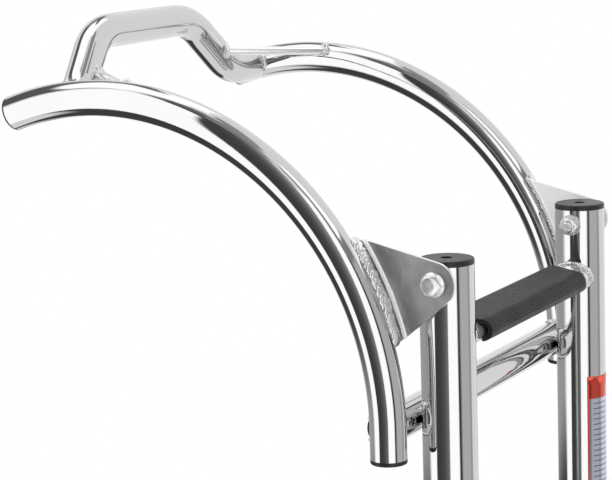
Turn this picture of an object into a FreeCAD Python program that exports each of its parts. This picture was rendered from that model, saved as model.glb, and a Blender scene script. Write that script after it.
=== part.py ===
import FreeCAD, Part
import os
import Sketcher

# Boarding ladder that hooks over the side tube of an inflatable boat.
# Units are millimetres. +X points away from the boat, towards the climber,
# +Y to the climber's right, +Z up. The origin is where the crown of the two
# hooks rests on the boat's tube, half way between them.

SIZES = (
    # Tubes
    ("hook_diameter", 25.4),
    ("hook_wall", 1.5),
    ("stile_diameter", 38.1),
    ("stile_wall", 1.5),
    # Hook frame
    ("arc_radius", 220),
    ("arc_sweep", 109.3),
    ("heel_length", 20.4),
    ("hook_outset", 36.8),
    ("stop_drop", 0.8),
    ("stop_gap", 0.3),
    ("weld_gap", 0.3),
    # Plugs in the hooks
    ("plug_spigot_length", 10),
    ("plug_spigot_slack", 0.6),
    ("tip_plug_rim", 1.8),
    ("heel_plug_rim", 3.2),
    ("plug_edge", 1.1),
    # Handle between the hooks
    ("handle_lean_angle", 13.7),
    ("handle_height", 45.7),
    ("handle_foot_inset", 50),
    ("handle_leg_spread", 46),
    ("handle_low_bend", 36),
    ("handle_high_bend", 46),
    ("brace_diameter", 5.5),
    ("brace_head_rise", 15.1),
    ("brace_head_angle", 8),
    ("brace_foot_angle", 3.7),
    ("brace_tilt_angle", 33),
    # Hinge plates
    ("pivot_outset", 29),
    ("pivot_rise", 98.2),
    ("plate_thickness", 3),
    ("plate_gap", 0.5),
    ("plate_tip_radius", 15.3),
    ("plate_low_angle", 15.1),
    ("plate_high_angle", 31.8),
    ("plate_bend", 2),
    ("plate_lap", 1),
    ("plate_flange_inset", 10.5),
    ("plate_hole_slack", 0.2),
    ("bead_width", 9.4),
    # Ladder
    ("stile_half_span", 126.6),
    ("stile_rise", 10.9),
    ("stile_tail", 60.2),
    ("cap_rim", 4),
    ("cap_edge", 1.5),
    ("cap_hole_diameter", 8),
    ("cap_spigot_length", 6),
    ("cap_spigot_slack", 0.5),
    ("foot_spigot_length", 14),
    ("foot_rim", 9),
    ("foot_edge", 3),
    ("rung_first_drop", 40.8),
    ("rung_pitch", 250),
    ("rung_width", 33.3),
    ("rung_height", 11.6),
    ("rung_wall", 1.5),
    ("rung_flat_reach", 99),
    ("rung_oval_reach", 108),
    ("rung_oval_width", 28.4),
    ("rung_oval_height", 22.2),
    ("rung_oval_side_radius", 10.2),
    ("tread_wall", 3.4),
    ("tread_height", 15.4),
    ("tread_front_reach", 23.1),
    ("tread_back_reach", 20.4),
    ("tread_end_gap", 4.05),
    ("tread_front_lip_angle", 85),
    ("tread_back_lip_angle", 62),
    ("tread_seat", 0.3),
    ("tread_cut_start", 14),
    ("tread_cut_angle", 34),
    ("groove_width", 1.1),
    ("groove_pitch", 2.05),
    ("groove_start_angle", 75),
    # Pivot bolts
    ("bolt_diameter", 8),
    ("bolt_hole_slack", 0.2),
    ("flange_diameter", 17.5),
    ("flange_thickness", 1.7),
    ("hex_width", 13),
    ("hex_height", 5.5),
    ("bolt_length", 54),
    ("washer_diameter", 16),
    ("washer_thickness", 1.6),
    ("nut_height", 7.5),
    ("clamp_gap", 0.3),
)
RUNGS = 4
NOSE_GROOVES = 6
SIDES = (("left", -1), ("right", 1))

doc = FreeCAD.newDocument("BoardingLadder")
dims = doc.addObject("Spreadsheet::Sheet", "dims")
for row, (alias, value) in enumerate(SIZES, start=1):
    dims.set(f"A{row}", alias)
    dims.set(f"B{row}", str(value))
    dims.setAlias(f"B{row}", alias)
doc.recompute()

V = FreeCAD.Vector
START, END, CENTRE = range(1, 4)
SKETCH_ORIGIN = (-1, START)
PARTS = []


def sized(text):
    """Write the sheet's names out in full, so that an expression can use them."""
    names = [alias for alias, value in SIZES]
    full = []
    for word in text.split(" "):
        bare = word.strip("()-")
        if bare in names:
            word = word.replace(bare, "dims." + bare)
        full.append(word)
    return " ".join(full)


def size(text):
    """The number that an expression in the sheet's names gives."""
    return float(dims.evalExpression(sized(text)))


# Places that several pieces share. Heights are from the part's origin, and
# the hooks' centre is the axis that both hook arcs are bent round.
HOOK_R = "( hook_diameter / 2 )"
STILE_R = "( stile_diameter / 2 )"
HOOK_Y = "( stile_half_span + hook_outset )"
CENTRE_Z = "( hook_diameter / 2 - arc_radius )"
PIVOT_X = "( arc_radius + pivot_outset )"
PIVOT_Z = f"( {CENTRE_Z} + pivot_rise )"
PLATE_FACE = f"( stile_half_span + {STILE_R} + plate_gap )"
STOP_X = f"( {PIVOT_X} - {STILE_R} - {HOOK_R} - stop_gap )"
STILE_DROP = f"( rung_first_drop + {RUNGS - 1} * rung_pitch + stile_tail )"


def body(name):
    piece = doc.addObject("PartDesign::Body", name)
    PARTS.append(piece)
    return piece


def put(piece, x="0", y="0", z="0", axis=(0, 0, 1), angle="0"):
    """Place a piece by expressions, turned about one axis."""
    turn = FreeCAD.Rotation(V(*axis), size(angle))
    piece.Placement = FreeCAD.Placement(V(size(x), size(y), size(z)), turn)
    for way, text in (("x", x), ("y", y), ("z", z)):
        piece.setExpression("Placement.Base." + way, sized(text))
    if angle != "0":
        piece.setExpression("Placement.Rotation.Angle", sized(angle))


def side_of(way, text):
    """An expression on the right side, or its mirror image on the left."""
    return text if way > 0 else "-" + text


def sketch(piece, plane, name):
    drawing = piece.newObject("Sketcher::SketchObject", name)
    flat = [f for f in piece.Origin.OriginFeatures if f.Role == plane][0]
    drawing.AttachmentSupport = [(flat, "")]
    drawing.MapMode = "FlatFace"
    return drawing


def bind(drawing, kind, where, text):
    """Add one dimension to a sketch and tie it to the sheet."""
    number = drawing.addConstraint(Sketcher.Constraint(kind, *where, size(text)))
    drawing.setExpression(f"Constraints[{number}]", sized(text))


def pin(drawing, edge, spot, x, y):
    """Fix one point of an edge by its distances from the sketch's origin."""
    bind(drawing, "DistanceX", (*SKETCH_ORIGIN, edge, spot), x)
    bind(drawing, "DistanceY", (*SKETCH_ORIGIN, edge, spot), y)


def circle(drawing, x, y, radius):
    centre = V(size(x), size(y), 0)
    edge = drawing.addGeometry(Part.Circle(centre, V(0, 0, 1), size(radius)), False)
    bind(drawing, "Radius", (edge,), radius)
    pin(drawing, edge, CENTRE, x, y)


def arc_between(drawing, start, end, centre_x, centre_y, turn):
    """An arc that turns left for 1 and right for -1. Arcs in a sketch only turn
    left, so a right turn is drawn from its end to its start."""
    centre = V(size(centre_x), size(centre_y), 0)
    ring = Part.Circle(centre, V(0, 0, 1), (start - centre).Length)
    first, last = (start, end) if turn > 0 else (end, start)
    curve = Part.ArcOfCircle(ring, ring.parameter(first), ring.parameter(last))
    edge = drawing.addGeometry(curve, False)
    return (edge, START, END) if turn > 0 else (edge, END, START)


def path(drawing, points, arcs=None, closed=True):
    """Lines and arcs through points, which are pairs of expressions in order.
    arcs maps the index of a stretch to its centre and the way it turns."""
    arcs = arcs or {}
    spots = [V(size(x), size(y), 0) for x, y in points]
    edges = []
    for i in range(len(spots) if closed else len(spots) - 1):
        start = spots[i]
        end = spots[(i + 1) % len(spots)]
        if i in arcs:
            edges.append(arc_between(drawing, start, end, *arcs[i]))
        else:
            edges.append((drawing.addGeometry(Part.LineSegment(start, end), False), START, END))
    for i, (edge, first, last) in enumerate(edges):
        if closed or i > 0:
            before, before_last = edges[i - 1][::2]
            drawing.addConstraint(Sketcher.Constraint("Coincident", before, before_last, edge, first))
        pin(drawing, edge, first, *points[i])
        if i in arcs:
            chord = spots[(i + 1) % len(spots)] - spots[i]
            way, where = ("Y", arcs[i][1]) if abs(chord.x) > abs(chord.y) else ("X", arcs[i][0])
            bind(drawing, "Distance" + way, (*SKETCH_ORIGIN, edge, CENTRE), where)
    if not closed:
        edge, first, last = edges[-1]
        pin(drawing, edge, last, *points[-1])


def slot(drawing, half_width, half_height):
    """A flat loop with round ends, centred on the sketch's origin."""
    flat = f"( {half_width} - {half_height} )"
    points = [("-" + flat, "-" + half_height), (flat, "-" + half_height),
              (flat, half_height), ("-" + flat, half_height)]
    path(drawing, points, {1: (flat, "0", 1), 3: ("-" + flat, "0", 1)})


def feature(piece, kind, profile, **settings):
    made = piece.newObject("PartDesign::" + kind, f"{profile.Name}_{kind.lower()}")
    made.Profile = profile
    for prop, value in settings.items():
        if prop in ("Length", "Angle"):
            made.setExpression(prop, sized(value))
        else:
            setattr(made, prop, value)
    piece.Tip = made


def pad(piece, profile, length, **settings):
    feature(piece, "Pad", profile, Length=length, **settings)


def turned(piece, profile, angle="360", **settings):
    """A revolution about the sketch's upright axis."""
    feature(piece, "Revolution", profile, ReferenceAxis=(profile, ["V_Axis"]), Angle=angle, **settings)


def pocket_through(piece, profile):
    feature(piece, "Pocket", profile, Type="ThroughAll", Midplane=True)


def tube_section(piece, plane, name, x, y, radius, wall):
    section = sketch(piece, plane, name)
    circle(section, x, y, radius)
    circle(section, x, y, f"{radius} - {wall}")
    return section


# Hook arcs: a rolled tube that ends in a short straight heel
def hook_arc(side, way):
    piece = body(side + "_hook_arc")
    section = tube_section(piece, "XY_Plane", side + "_arc_section", "arc_radius", "0", HOOK_R, "hook_wall")
    turned(piece, section, "arc_sweep", Reversed=True)
    heel = tube_section(piece, "XY_Plane", side + "_heel_section", "arc_radius", "0", HOOK_R, "hook_wall")
    pad(piece, heel, "heel_length", Reversed=True)
    put(piece, "0", side_of(way, HOOK_Y), CENTRE_Z)


# Plugs that close a tube: a rim as wide as the tube and a spigot inside it
def plug(name, tube_radius, tube_wall, slack, rim, edge, spigot, hole=None):
    piece = body(name)
    profile = sketch(piece, "XZ_Plane", name + "_profile")
    inner = f"( {tube_radius} - {tube_wall} - {slack} )"
    shoulder = (f"{tube_radius} - {edge}", f"{rim} - {edge}")
    points = [("0", "-" + spigot), (inner, "-" + spigot), (inner, "0"), (tube_radius, "0"),
              (tube_radius, shoulder[1]), (shoulder[0], rim), ("0", rim)]
    path(profile, points, {4: (*shoulder, 1)})
    turned(piece, profile)
    if hole:
        bore = sketch(piece, "XY_Plane", name + "_bore")
        circle(bore, "0", "0", hole + " / 2")
        pocket_through(piece, bore)
    return piece


def hook_plugs(side, way):
    tip = plug(side + "_tip_plug", HOOK_R, "hook_wall", "plug_spigot_slack", "tip_plug_rim",
               "plug_edge", "plug_spigot_length")
    put(tip, "arc_radius * cos( arc_sweep )", side_of(way, HOOK_Y),
        f"{CENTRE_Z} + arc_radius * sin( arc_sweep )", (0, -1, 0), "arc_sweep")
    heel = plug(side + "_heel_plug", HOOK_R, "hook_wall", "plug_spigot_slack", "heel_plug_rim",
                "plug_edge", "plug_spigot_length")
    put(heel, "arc_radius", side_of(way, HOOK_Y), f"{CENTRE_Z} - heel_length", (0, 1, 0), "180")


# Hinge plates: a flat triangle with a rounded tip round the bolt. The edge by
# the hook is bent outwards into a curved flange that lies along the hook arc.
# A plate is drawn about the hooks' centre and then turned to its place.
# The flange and its weld end in line with the two straight edges of the plate.
PLATE_TURN = "( ( plate_low_angle + plate_high_angle ) / 2 )"
PLATE_HALF_ANGLE = "( ( plate_high_angle - plate_low_angle ) / 2 )"
PIVOT_RHO = f"( sqrt( {PIVOT_X} ^ 2 + pivot_rise ^ 2 ) )"
PIVOT_LEAN = f"( atan( pivot_rise / {PIVOT_X} ) / ( 1 deg ) - {PLATE_TURN} )"
FLANGE_RHO = f"( arc_radius + {HOOK_R} + weld_gap )"
BEND_RHO = f"( {FLANGE_RHO} + plate_bend + plate_thickness )"
FLANGE_WIDTH = f"( {HOOK_Y} - {PLATE_FACE} - plate_flange_inset )"
TIP_X = f"( {PIVOT_RHO} * cos( {PIVOT_LEAN} ) )"
TIP_Y = f"( {PIVOT_RHO} * sin( {PIVOT_LEAN} ) )"
CORNER_X = f"( {BEND_RHO} * cos( {PLATE_HALF_ANGLE} ) )"
SPARE = "( 2 * ( plate_bend + plate_thickness ) )"
SPARE_SWEEP = f"plate_high_angle - plate_low_angle + 2 * {SPARE} / {BEND_RHO} * 180 / pi"


def plate_edge(sign):
    """The corner of the plate by the hook at one end, + or -, and the slope of
    the straight edge that runs from it into the rounded tip."""
    corner_y = f"( 0 {sign} {BEND_RHO} * sin( {PLATE_HALF_ANGLE} ) )"
    reach = f"( sqrt( ( {TIP_X} - {CORNER_X} ) ^ 2 + ( {TIP_Y} - {corner_y} ) ^ 2 ) )"
    middle = f"( atan( ( {TIP_Y} - {corner_y} ) / ( {TIP_X} - {CORNER_X} ) ) / ( 1 deg ) )"
    narrowing = f"( asin( plate_tip_radius / {reach} ) / ( 1 deg ) )"
    return corner_y, f"( {middle} {sign} {narrowing} )"


def trim_ends(piece, side):
    """Cut what was turned too far about the hook, in line with both edges."""
    for sign, name in (("+", "_high_trim"), ("-", "_low_trim")):
        corner_y, slope = plate_edge(sign)
        along_x, along_y = f"{SPARE} * cos( {slope} )", f"{SPARE} * sin( {slope} )"
        inner = (f"( {CORNER_X} - 2 * {along_x} )", f"( {corner_y} - 2 * {along_y} )")
        outer = (f"( {CORNER_X} + {along_x} )", f"( {corner_y} + {along_y} )")
        off_x, off_y = f"2 * {SPARE} * cos( {slope} {sign} 90 )", f"2 * {SPARE} * sin( {slope} {sign} 90 )"
        far = [(f"( {x} + {off_x} )", f"( {y} + {off_y} )") for x, y in (outer, inner)]
        cut = sketch(piece, "XZ_Plane", side + name)
        path(cut, [inner, outer, *far])
        pocket_through(piece, cut)


def hinge_plate(side, way):
    piece = body(side + "_hinge_plate")
    profile = sketch(piece, "XZ_Plane", side + "_plate_profile")
    corners, touches = [], []
    for sign in "-+":
        corner_y, slope = plate_edge(sign)
        square = f"( {slope} {sign} 90 )"
        corners.append((CORNER_X, corner_y))
        touches.append((f"{TIP_X} + plate_tip_radius * cos( {square} )",
                        f"{TIP_Y} + plate_tip_radius * sin( {square} )"))
    points = [corners[0], *touches, corners[1]]
    path(profile, points, {1: (TIP_X, TIP_Y, 1), 3: ("0", "0", -1)})
    pad(piece, profile, "plate_thickness", Reversed=way > 0)
    # The bend and the flange are turned round the axis of the hook arc
    bend = sketch(piece, "XY_Plane", side + "_flange_section")
    far = side_of(way, FLANGE_WIDTH)
    centre = side_of(way, "( plate_bend + plate_thickness )")
    skin = side_of(way, "plate_thickness")
    lap = f"( {BEND_RHO} + plate_lap )"
    outer = f"( {FLANGE_RHO} + plate_thickness )"
    points = [(FLANGE_RHO, far), (outer, far), (outer, centre), (BEND_RHO, skin), (lap, skin),
              (lap, "0"), (BEND_RHO, "0"), (FLANGE_RHO, centre)]
    path(bend, points, {2: (BEND_RHO, centre, way), 6: (BEND_RHO, centre, -way)})
    turned(piece, bend, SPARE_SWEEP, Midplane=True)
    trim_ends(piece, side + "_plate")
    bore = sketch(piece, "XZ_Plane", side + "_plate_bore")
    circle(bore, TIP_X, TIP_Y, "( bolt_diameter + plate_hole_slack ) / 2")
    pocket_through(piece, bore)
    put(piece, "0", side_of(way, PLATE_FACE), CENTRE_Z, (0, -1, 0), PLATE_TURN)


# Weld bead that fills the corner between a plate's flange and the hook arc
def plate_weld(side, way):
    piece = body(side + "_plate_weld")
    section = sketch(piece, "XY_Plane", side + "_bead_section")
    tube_y = f"( {HOOK_Y} - {PLATE_FACE} )"
    near = f"( {FLANGE_WIDTH} + weld_gap )"
    far = f"( {near} + bead_width )"
    reach = f"( {HOOK_R} + weld_gap )"
    root = f"( arc_radius + sqrt( {reach} ^ 2 - ( {tube_y} - {near} ) ^ 2 ) )"
    toe = f"( arc_radius + sqrt( {reach} ^ 2 - ( {tube_y} - {far} ) ^ 2 ) )"
    top = f"( {FLANGE_RHO} + plate_thickness )"
    points = [(root, side_of(way, near)), (top, side_of(way, near)), (toe, side_of(way, far))]
    path(section, points, {2: ("arc_radius", side_of(way, tube_y), -way)})
    turned(piece, section, SPARE_SWEEP, Midplane=True)
    trim_ends(piece, side + "_bead")
    put(piece, "0", side_of(way, PLATE_FACE), CENTRE_Z, (0, -1, 0), PLATE_TURN)


# Cross bar between the heels of the hooks: the stiles come to rest on it
def cross_bar():
    piece = body("cross_bar")
    section = tube_section(piece, "XZ_Plane", "bar_section", "0", "0", HOOK_R, "hook_wall")
    pad(piece, section, f"2 * {HOOK_Y}", Midplane=True)
    mouths = sketch(piece, "XY_Plane", "bar_mouths")
    for way in (-1, 1):
        circle(mouths, f"arc_radius - {STOP_X}", side_of(way, HOOK_Y), f"{HOOK_R} + weld_gap")
    pocket_through(piece, mouths)
    put(piece, STOP_X, "0", f"{CENTRE_Z} - stop_drop")


# Handle: one tube bent up into a grip, with its tails coped to the hooks. It
# lies in a plane through the hooks' centre, which leans towards the boat.
FOOT_Y = f"( {HOOK_Y} - handle_foot_inset )"
GRIP_Y = f"( {FOOT_Y} - handle_leg_spread )"
LEG_SLOPE = "( atan( handle_height / handle_leg_spread ) / ( 1 deg ) )"


def handle():
    piece = body("handle")
    spine = sketch(piece, "YZ_Plane", "handle_spine")
    low_cut = f"( handle_low_bend * tan( {LEG_SLOPE} / 2 ) )"
    high_cut = f"( handle_high_bend * tan( {LEG_SLOPE} / 2 ) )"
    crest = "( arc_radius + handle_height )"
    low_y = f"( {FOOT_Y} + {low_cut} )"
    high_y = f"( {GRIP_Y} - {high_cut} )"
    low_z = "( arc_radius + handle_low_bend )"
    high_z = f"( {crest} - handle_high_bend )"
    leg_low = (f"( {FOOT_Y} - {low_cut} * cos( {LEG_SLOPE} ) )",
               f"arc_radius + {low_cut} * sin( {LEG_SLOPE} )")
    leg_high = (f"( {GRIP_Y} + {high_cut} * cos( {LEG_SLOPE} ) )",
                f"{crest} - {high_cut} * sin( {LEG_SLOPE} )")
    half = [(HOOK_Y, "arc_radius"), (low_y, "arc_radius"), leg_low, leg_high, (high_y, crest)]
    points = half + [("-" + y, z) for y, z in reversed(half)]
    bends = {1: (low_y, low_z, -1), 3: (high_y, high_z, 1),
             5: ("-" + high_y, high_z, 1), 7: ("-" + low_y, low_z, -1)}
    path(spine, points, bends, closed=False)
    section = tube_section(piece, "XZ_Plane", "handle_section", "0", "arc_radius", HOOK_R, "hook_wall")
    section.setExpression("AttachmentOffset.Base.z", sized("-" + HOOK_Y))
    doc.recompute()
    tube = piece.newObject("PartDesign::AdditivePipe", "handle_tube")
    tube.Profile = section
    tube.Spine = (spine, [])
    piece.Tip = tube
    # Each tail is cut to the round of its hook, all the way along the arc
    mouths = sketch(piece, "YZ_Plane", "handle_mouths")
    for way in (-1, 1):
        circle(mouths, side_of(way, HOOK_Y), "arc_radius", f"{HOOK_R} + weld_gap")
    feature(piece, "Groove", mouths, ReferenceAxis=(mouths, ["H_Axis"]), Angle="360")
    put(piece, "0", "0", CENTRE_Z, (0, -1, 0), "handle_lean_angle")


# Brace rods: from the legs of the handle across to the crowns of the hooks
def handle_spot(out, y, rho):
    """A point of the handle's plane, or beside it on the climber's side."""
    lean = FreeCAD.Rotation(V(0, -1, 0), size("handle_lean_angle"))
    return V(0, 0, size(CENTRE_Z)) + lean.multVec(V(out, y, rho))


def rod(name, start, end, radius):
    cylinder = doc.addObject("Part::Cylinder", name)
    cylinder.setExpression("Radius", sized(radius))
    cylinder.Height = (end - start).Length
    cylinder.Placement = FreeCAD.Placement(start, FreeCAD.Rotation(V(0, 0, 1), end - start))
    return cylinder


def brace(side, way):
    # The head meets the leg on the climber's side, turned a little down and in
    turned_in = f"{HOOK_R} * sin( brace_head_angle )"
    spread = "brace_head_rise * handle_leg_spread / handle_height"
    head_y = size(side_of(way, f"( {FOOT_Y} - {spread} - {turned_in} * sin( {LEG_SLOPE} ) )"))
    head_rho = size(f"arc_radius + brace_head_rise - {turned_in} * cos( {LEG_SLOPE} )")
    head = handle_spot(size(f"{HOOK_R} * cos( brace_head_angle )"), head_y, head_rho)
    foot_rho = size(f"arc_radius + {HOOK_R} * sin( brace_tilt_angle )")
    foot_y = size(side_of(way, f"( {HOOK_Y} - {HOOK_R} * cos( brace_tilt_angle ) )"))
    foot = V(foot_rho * size("sin( brace_foot_angle )"), foot_y,
             size(CENTRE_Z) + foot_rho * size("cos( brace_foot_angle )"))
    # The rod runs its own width into each tube before it is cut to their round
    sunk = (foot - head).normalize() * size("brace_diameter")
    bar = rod(side + "_brace_rod", head - sunk, foot + sunk, "brace_diameter / 2")
    low = handle_spot(0, size(side_of(way, FOOT_Y)), size("arc_radius"))
    high = handle_spot(0, size(side_of(way, GRIP_Y)), size("arc_radius + handle_height"))
    leg = rod(side + "_brace_leg", low, high, f"{HOOK_R} + weld_gap")
    hook = doc.addObject("Part::Torus", side + "_brace_hook")
    hook.setExpression("Radius1", sized("arc_radius"))
    hook.setExpression("Radius2", sized(f"{HOOK_R} + weld_gap"))
    put(hook, "0", side_of(way, HOOK_Y), CENTRE_Z, (1, 0, 0), "90")
    on_hook = doc.addObject("Part::Cut", side + "_brace_on_hook")
    on_hook.Base = bar
    on_hook.Tool = hook
    piece = doc.addObject("Part::Cut", side + "_handle_brace")
    piece.Base = on_hook
    piece.Tool = leg
    PARTS.append(piece)


# Stiles: straight tubes, drilled through for the pivot bolt near the top
def stile(side, way):
    piece = body(side + "_stile")
    section = tube_section(piece, "XY_Plane", side + "_stile_section", "0", "0", STILE_R, "stile_wall")
    pad(piece, section, f"stile_rise + {STILE_DROP}", Reversed=True)
    bore = sketch(piece, "XZ_Plane", side + "_stile_bore")
    circle(bore, "0", "-stile_rise", "( bolt_diameter + bolt_hole_slack ) / 2")
    pocket_through(piece, bore)
    put(piece, PIVOT_X, side_of(way, "stile_half_span"), f"{PIVOT_Z} + stile_rise")


def stile_ends(side, way):
    cap = plug(side + "_stile_cap", STILE_R, "stile_wall", "cap_spigot_slack", "cap_rim",
               "cap_edge", "cap_spigot_length", "cap_hole_diameter")
    put(cap, PIVOT_X, side_of(way, "stile_half_span"), f"{PIVOT_Z} + stile_rise")
    foot = plug(side + "_stile_foot", STILE_R, "stile_wall", "cap_spigot_slack", "foot_rim",
                "foot_edge", "foot_spigot_length")
    put(foot, PIVOT_X, side_of(way, "stile_half_span"), f"{PIVOT_Z} - {STILE_DROP}", (0, 1, 0), "180")


# Rungs: tubes that are pressed flat for the treads. Beside the stiles they open
# out to an oval, and their ends are cut to the round of the stiles.
OVAL_SHIFT = "( rung_oval_width / 2 - rung_oval_side_radius )"
OVAL_RISE = "( rung_oval_height / 2 - rung_oval_side_radius )"
OVAL_DROP = f"( ( {OVAL_SHIFT} ^ 2 - {OVAL_RISE} ^ 2 ) / ( 2 * {OVAL_RISE} ) )"


def rung_z(number):
    return f"{PIVOT_Z} - rung_first_drop - {number - 1} * rung_pitch"


def flat_loop(drawing, grow):
    """The outline of the pressed part of a rung, or one that lies beside it."""
    slot(drawing, f"( rung_width / 2 + {grow} )", f"( rung_height / 2 + {grow} )")


def oval_loop(drawing, grow):
    """The oval at a rung's end, of four arcs that run into each other."""
    share = f"( ( rung_oval_side_radius + {grow} ) / ( {OVAL_RISE} + {OVAL_DROP} ) )"
    x = f"( {OVAL_SHIFT} * ( 1 + {share} ) )"
    y = f"( {OVAL_DROP} * {share} )"
    arcs = {0: ("0", OVAL_DROP, 1), 1: (OVAL_SHIFT, "0", 1),
            2: ("0", "-" + OVAL_DROP, 1), 3: ("-" + OVAL_SHIFT, "0", 1)}
    path(drawing, [("-" + x, "-" + y), (x, "-" + y), (x, y), ("-" + x, y)], arcs)


def open_out(piece, kind, side, way, *grows):
    """Loft from the pressed part to the oval at one end. Returns the oval."""
    flat = sketch(piece, "XZ_Plane", f"{piece.Name}_{side}_flat")
    oval = sketch(piece, "XZ_Plane", f"{piece.Name}_{side}_oval")
    flat.setExpression("AttachmentOffset.Base.z", sized(side_of(-way, "rung_flat_reach")))
    oval.setExpression("AttachmentOffset.Base.z", sized(side_of(-way, "rung_oval_reach")))
    for grow in grows:
        flat_loop(flat, grow)
        oval_loop(oval, grow)
    doc.recompute()
    loft = piece.newObject("PartDesign::" + kind, f"{piece.Name}_{side}_loft")
    loft.Profile = flat
    loft.Sections = [oval]
    piece.Tip = loft
    return oval


def rung(number):
    piece = body(f"rung_{number}")
    section = sketch(piece, "XZ_Plane", f"rung_{number}_section")
    flat_loop(section, "0")
    flat_loop(section, "-rung_wall")
    pad(piece, section, "2 * rung_flat_reach", Midplane=True)
    for side, way in SIDES:
        oval = open_out(piece, "AdditiveLoft", side, way, "0", "-rung_wall")
        pad(piece, oval, "stile_half_span - rung_oval_reach", Reversed=way > 0)
    mouths = sketch(piece, "XY_Plane", f"rung_{number}_mouths")
    for way in (-1, 1):
        circle(mouths, "0", side_of(way, "stile_half_span"), f"{STILE_R} + weld_gap")
    pocket_through(piece, mouths)
    put(piece, PIVOT_X, "0", rung_z(number))


# Treads: a channel of black plastic pushed over each rung from above. Its round
# nose and its shorter back both end in a lip that holds on under the rung, and
# grooves run along the nose.
NOSE_R = "( tread_height / 2 )"
NOSE_INNER_R = f"( {NOSE_R} - tread_wall )"
NOSE_MIDDLE_R = f"( {NOSE_R} - tread_wall / 2 )"
NOSE_Z = f"( rung_height / 2 + tread_seat - {NOSE_INNER_R} )"
NOSE_X = f"( tread_front_reach - {NOSE_R} )"
BACK_X = f"( tread_back_reach - {NOSE_R} )"


def lip_spot(x, radius, angle):
    """A point of a lip at an angle below the level of the nose's centre."""
    return f"( {x} + {radius} * cos( {angle} ) )", f"( {NOSE_Z} - {radius} * sin( {angle} ) )"


def tread(number):
    piece = body(f"tread_{number}")
    profile = sketch(piece, "XZ_Plane", f"tread_{number}_profile")
    front, back = "tread_front_lip_angle", "tread_back_lip_angle"
    radii = (NOSE_R, NOSE_MIDDLE_R, NOSE_INNER_R)
    front_out, front_mid, front_in = [lip_spot(NOSE_X, r, front) for r in radii]
    back_out, back_mid, back_in = [lip_spot(BACK_X, r, back) for r in radii]
    outer_z = f"( {NOSE_Z} + {NOSE_R} )"
    inner_z = f"( {NOSE_Z} + {NOSE_INNER_R} )"
    points = [("-" + BACK_X, outer_z), ("-" + back_out[0], back_out[1]), ("-" + back_in[0], back_in[1]),
              ("-" + BACK_X, inner_z), (NOSE_X, inner_z), front_in, front_out, (NOSE_X, outer_z)]
    arcs = {0: ("-" + BACK_X, NOSE_Z, 1), 1: ("-" + back_mid[0], back_mid[1], 1),
            2: ("-" + BACK_X, NOSE_Z, -1), 4: (NOSE_X, NOSE_Z, -1),
            5: (*front_mid, 1), 6: (NOSE_X, NOSE_Z, 1)}
    path(profile, points, arcs)
    half_length = f"( stile_half_span - {STILE_R} - tread_end_gap )"
    pad(piece, profile, "2 * " + half_length, Midplane=True)
    # The right end is cut on a slant, from the back of the rung to the nose
    slant = sketch(piece, "XY_Plane", f"tread_{number}_slant")
    front_x = "( tread_front_reach + tread_wall )"
    slant_y = f"( {half_length} - ( {front_x} + tread_cut_start ) * tan( tread_cut_angle ) )"
    path(slant, [("-tread_cut_start", half_length), (front_x, slant_y), (front_x, half_length)])
    pocket_through(piece, slant)
    # The channel stays clear of the rung, also where the rung opens out
    room = sketch(piece, "XZ_Plane", f"tread_{number}_room")
    flat_loop(room, "tread_seat")
    pocket_through(piece, room)
    for side, way in SIDES:
        open_out(piece, "SubtractiveLoft", side, way, "tread_seat")
    grooves = sketch(piece, "XZ_Plane", f"tread_{number}_grooves")
    step = f"groove_pitch / {NOSE_R} * 180 / pi"
    for count in range(NOSE_GROOVES):
        angle = f"( groove_start_angle - {count} * {step} )"
        circle(grooves, f"( {NOSE_X} + {NOSE_R} * cos( {angle} ) )",
               f"( {NOSE_Z} + {NOSE_R} * sin( {angle} ) )", "groove_width / 2")
    pocket_through(piece, grooves)
    put(piece, PIVOT_X, "0", rung_z(number))


# Pivot bolts: flanged hexagon head outside the plate, washer and nut inside
HEAD_Y = f"( {PLATE_FACE} + plate_thickness + clamp_gap )"
INNER_Y = f"( stile_half_span - {STILE_R} - clamp_gap )"


def hexagon(drawing, width):
    corner = f"( {width} / ( 2 * cos( 30 ) ) )"
    turns = range(0, 360, 60)
    path(drawing, [(f"{corner} * cos( {turn} )", f"{corner} * sin( {turn} )") for turn in turns])


def pivot_bolt(side, way):
    piece = body(side + "_pivot_bolt")
    shank = sketch(piece, "XZ_Plane", side + "_bolt_shank")
    circle(shank, "0", "0", "bolt_diameter / 2")
    pad(piece, shank, "bolt_length", Reversed=way < 0)
    flange = sketch(piece, "XZ_Plane", side + "_bolt_flange")
    circle(flange, "0", "0", "flange_diameter / 2")
    pad(piece, flange, "flange_thickness", Reversed=way > 0)
    head = sketch(piece, "XZ_Plane", side + "_bolt_head")
    hexagon(head, "hex_width")
    pad(piece, head, "hex_height", Reversed=way > 0)
    put(piece, PIVOT_X, side_of(way, HEAD_Y), PIVOT_Z)


def washer_and_nut(side, way):
    ring = body(side + "_pivot_washer")
    section = sketch(ring, "XZ_Plane", side + "_washer_section")
    circle(section, "0", "0", "washer_diameter / 2")
    circle(section, "0", "0", "( bolt_diameter + bolt_hole_slack ) / 2")
    pad(ring, section, "washer_thickness", Reversed=way < 0)
    put(ring, PIVOT_X, side_of(way, INNER_Y), PIVOT_Z)
    nut = body(side + "_pivot_nut")
    section = sketch(nut, "XZ_Plane", side + "_nut_section")
    hexagon(section, "hex_width")
    circle(section, "0", "0", "( bolt_diameter + bolt_hole_slack ) / 2")
    pad(nut, section, "nut_height", Reversed=way < 0)
    put(nut, PIVOT_X, side_of(way, f"( {INNER_Y} - washer_thickness )"), PIVOT_Z)


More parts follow.
